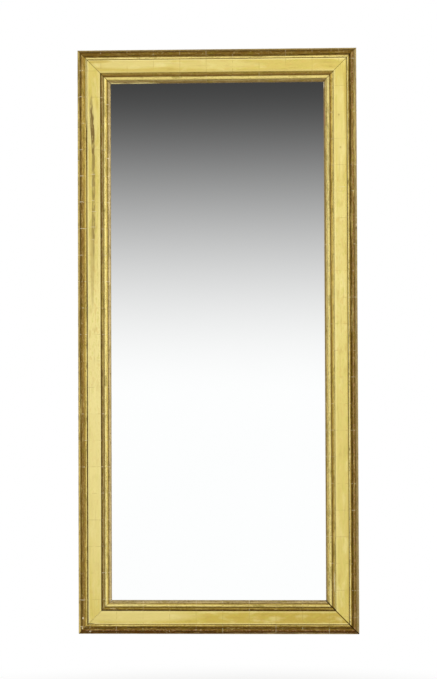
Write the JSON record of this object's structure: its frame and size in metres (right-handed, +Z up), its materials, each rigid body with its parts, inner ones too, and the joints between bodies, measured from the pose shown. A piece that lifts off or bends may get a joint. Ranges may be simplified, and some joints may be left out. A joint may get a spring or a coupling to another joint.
{
  "type": "pier mirror",
  "caption": "Tall rectangular gilt pier mirror: mitred pine frame with torus, flat frieze, cove and ovolo, mirror plate, boarded back and hinged hanging rings.",
  "frame": {"origin": "middle of the bottom edge on the plane of the carcass's back, which lies on the wall", "axes": "+Z up along the height, +Y into the wall, +X to the right as seen from the front, so the mirror faces -Y"},
  "size_m": [0.814, 0.0581, 1.7],
  "materials": {
    "carcass_pine": "aged pine, outer edges washed in yellow ochre",
    "outer_gilding": "burnished leaf over dark bole on pine, worn and toned brown",
    "frieze_gilding": "pale matte leaf on pine",
    "sight_gilding": "toned leaf on pine",
    "key_pine": "bare aged pine",
    "mirror_silver": "polished plate, silvered behind",
    "wedge_pine": "bare pine",
    "board_pine": "rough-planed aged pine",
    "nail_iron": "rusted iron",
    "strap_brass": "dull brass",
    "screw_brass": "dull brass",
    "ring_brass": "rubbed brass"
  },
  "bodies": {
    "frame": {"top_rail": "carcass_pine", "bottom_rail": "carcass_pine", "left_stile": "carcass_pine", "right_stile": "carcass_pine", "top_outer_moulding": "outer_gilding", "bottom_outer_moulding": "outer_gilding", "left_outer_moulding": "outer_gilding", "right_outer_moulding": "outer_gilding", "top_frieze": "frieze_gilding", "bottom_frieze": "frieze_gilding", "left_frieze": "frieze_gilding", "right_frieze": "frieze_gilding", "top_sight_moulding": "sight_gilding", "bottom_sight_moulding": "sight_gilding", "left_sight_moulding": "sight_gilding", "right_sight_moulding": "sight_gilding", "top_left_key": "key_pine", "top_right_key": "key_pine", "bottom_left_key": "key_pine", "bottom_right_key": "key_pine", "mirror_plate": "mirror_silver", "glass_wedges": "wedge_pine", "back_board_1": "board_pine", "back_board_2": "board_pine", "back_board_3": "board_pine", "back_board_4": "board_pine", "back_board_5": "board_pine", "back_board_6": "board_pine", "back_board_7": "board_pine", "back_board_8": "board_pine", "board_nails": "nail_iron", "left_hanger_strap": "strap_brass", "right_hanger_strap": "strap_brass", "hanger_screws": "screw_brass"},
    "left_ring": {"left_hanging_ring": "ring_brass"},
    "right_ring": {"right_hanging_ring": "ring_brass"}
  },
  "joints": [
    {"name": "left_ring_swing", "type": "hinge", "parent": "frame", "child": "left_ring", "pos_m": [-0.372, 0.00328, 1.36], "axis": [1, 0, 0], "range_deg": [0, 180]},
    {"name": "right_ring_swing", "type": "hinge", "parent": "frame", "child": "right_ring", "pos_m": [0.372, 0.00328, 1.36], "axis": [1, 0, 0], "range_deg": [0, 180]}
  ]
}
